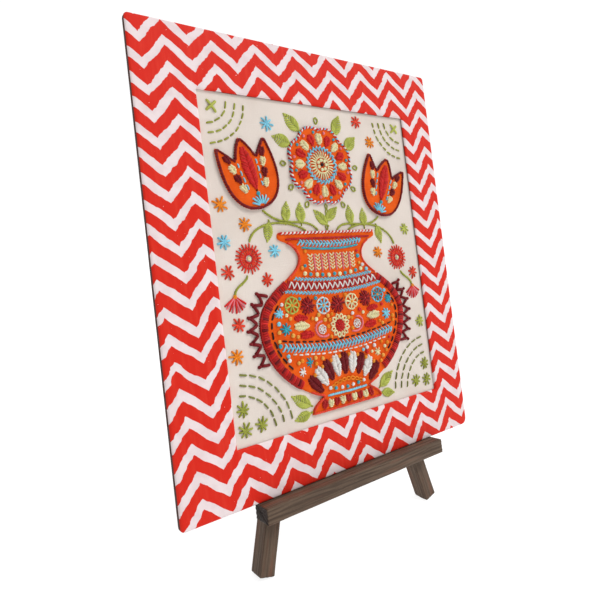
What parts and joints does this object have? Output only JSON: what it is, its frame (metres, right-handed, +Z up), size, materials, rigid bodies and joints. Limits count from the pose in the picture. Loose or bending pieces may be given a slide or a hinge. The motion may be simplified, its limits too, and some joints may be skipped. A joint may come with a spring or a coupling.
{
  "type": "framed embroidered textile on a table easel",
  "caption": "Embroidered linen panel with applied orange cloth in a flat chevron-printed frame, standing on a small dark wooden table easel.",
  "frame": {"origin": "on the surface it stands on, under the middle of its bounding box", "axes": "+Z up, +X to the viewer's right along the picture's width, -Y towards the viewer"},
  "size_m": [0.24, 0.138, 0.3213],
  "materials": {
    "printed_cloth": "block-printed cotton, red chevrons on white, glued over board, low sheen",
    "linen_cloth": "natural linen, fine plain weave, matt",
    "orange_cloth": "orange cotton cloth with stranded thread, soft sheen",
    "card": "plain grey-brown card, matt",
    "stained_wood": "open-grained wood, dark brown stain, unvarnished"
  },
  "bodies": {
    "root": {"frame": "printed_cloth", "linen": "linen_cloth", "backing_board": "card", "vase_patch": "orange_cloth", "rose_patch": "orange_cloth", "tulip_patch_left": "orange_cloth", "tulip_patch_right": "orange_cloth", "ledge": "stained_wood", "leg_left": "stained_wood", "leg_right": "stained_wood", "head_block": "stained_wood", "rear_leg": "stained_wood"}
  },
  "joints": []
}
